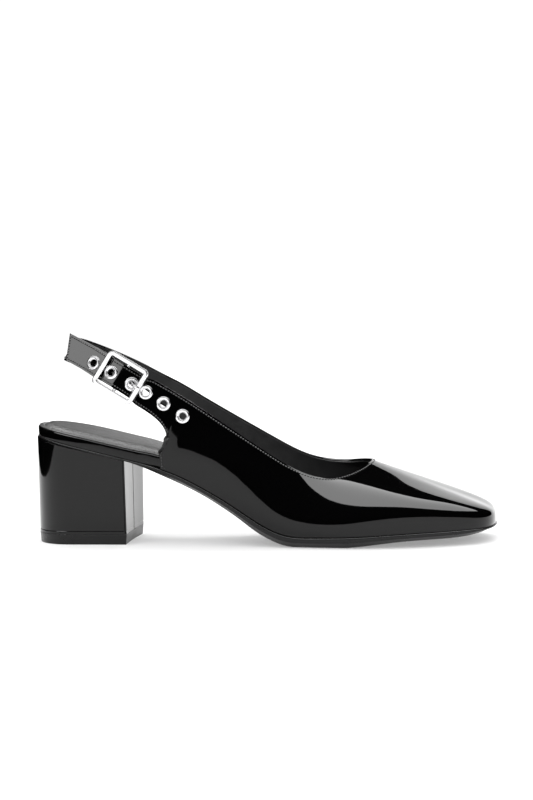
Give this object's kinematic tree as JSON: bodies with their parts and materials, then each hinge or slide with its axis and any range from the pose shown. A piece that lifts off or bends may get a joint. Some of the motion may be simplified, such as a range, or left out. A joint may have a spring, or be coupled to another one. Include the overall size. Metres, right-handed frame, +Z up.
{
  "type": "slingback pump",
  "caption": "Right slingback pump: patent upper with a soft square toe, buckled sling with eyelets, padded sock and a covered block heel, standing empty on its sole.",
  "frame": {"origin": "centre of the heel's tread, on the floor", "axes": "+X to the toe, +Z up, -Y to the outer side with the buckle"},
  "size_m": [0.2516, 0.0795, 0.1152],
  "materials": {
    "patent_leather": "black patent, mirror gloss",
    "sock_leather": "fine grained satin black",
    "sole_rubber": "semi-matte black",
    "polished_metal": "polished silver"
  },
  "bodies": {
    "root": {"outsole": "sole_rubber", "heel_seat": "patent_leather", "heel": "patent_leather", "top_piece": "sole_rubber", "insole": "sock_leather", "upper": "patent_leather", "eyelet_1": "polished_metal", "eyelet_2": "polished_metal", "eyelet_3": "polished_metal", "eyelet_4": "polished_metal", "eyelet_5": "polished_metal", "eyelet_6": "polished_metal", "buckle_frame": "polished_metal", "buckle_prong": "polished_metal"}
  },
  "joints": []
}
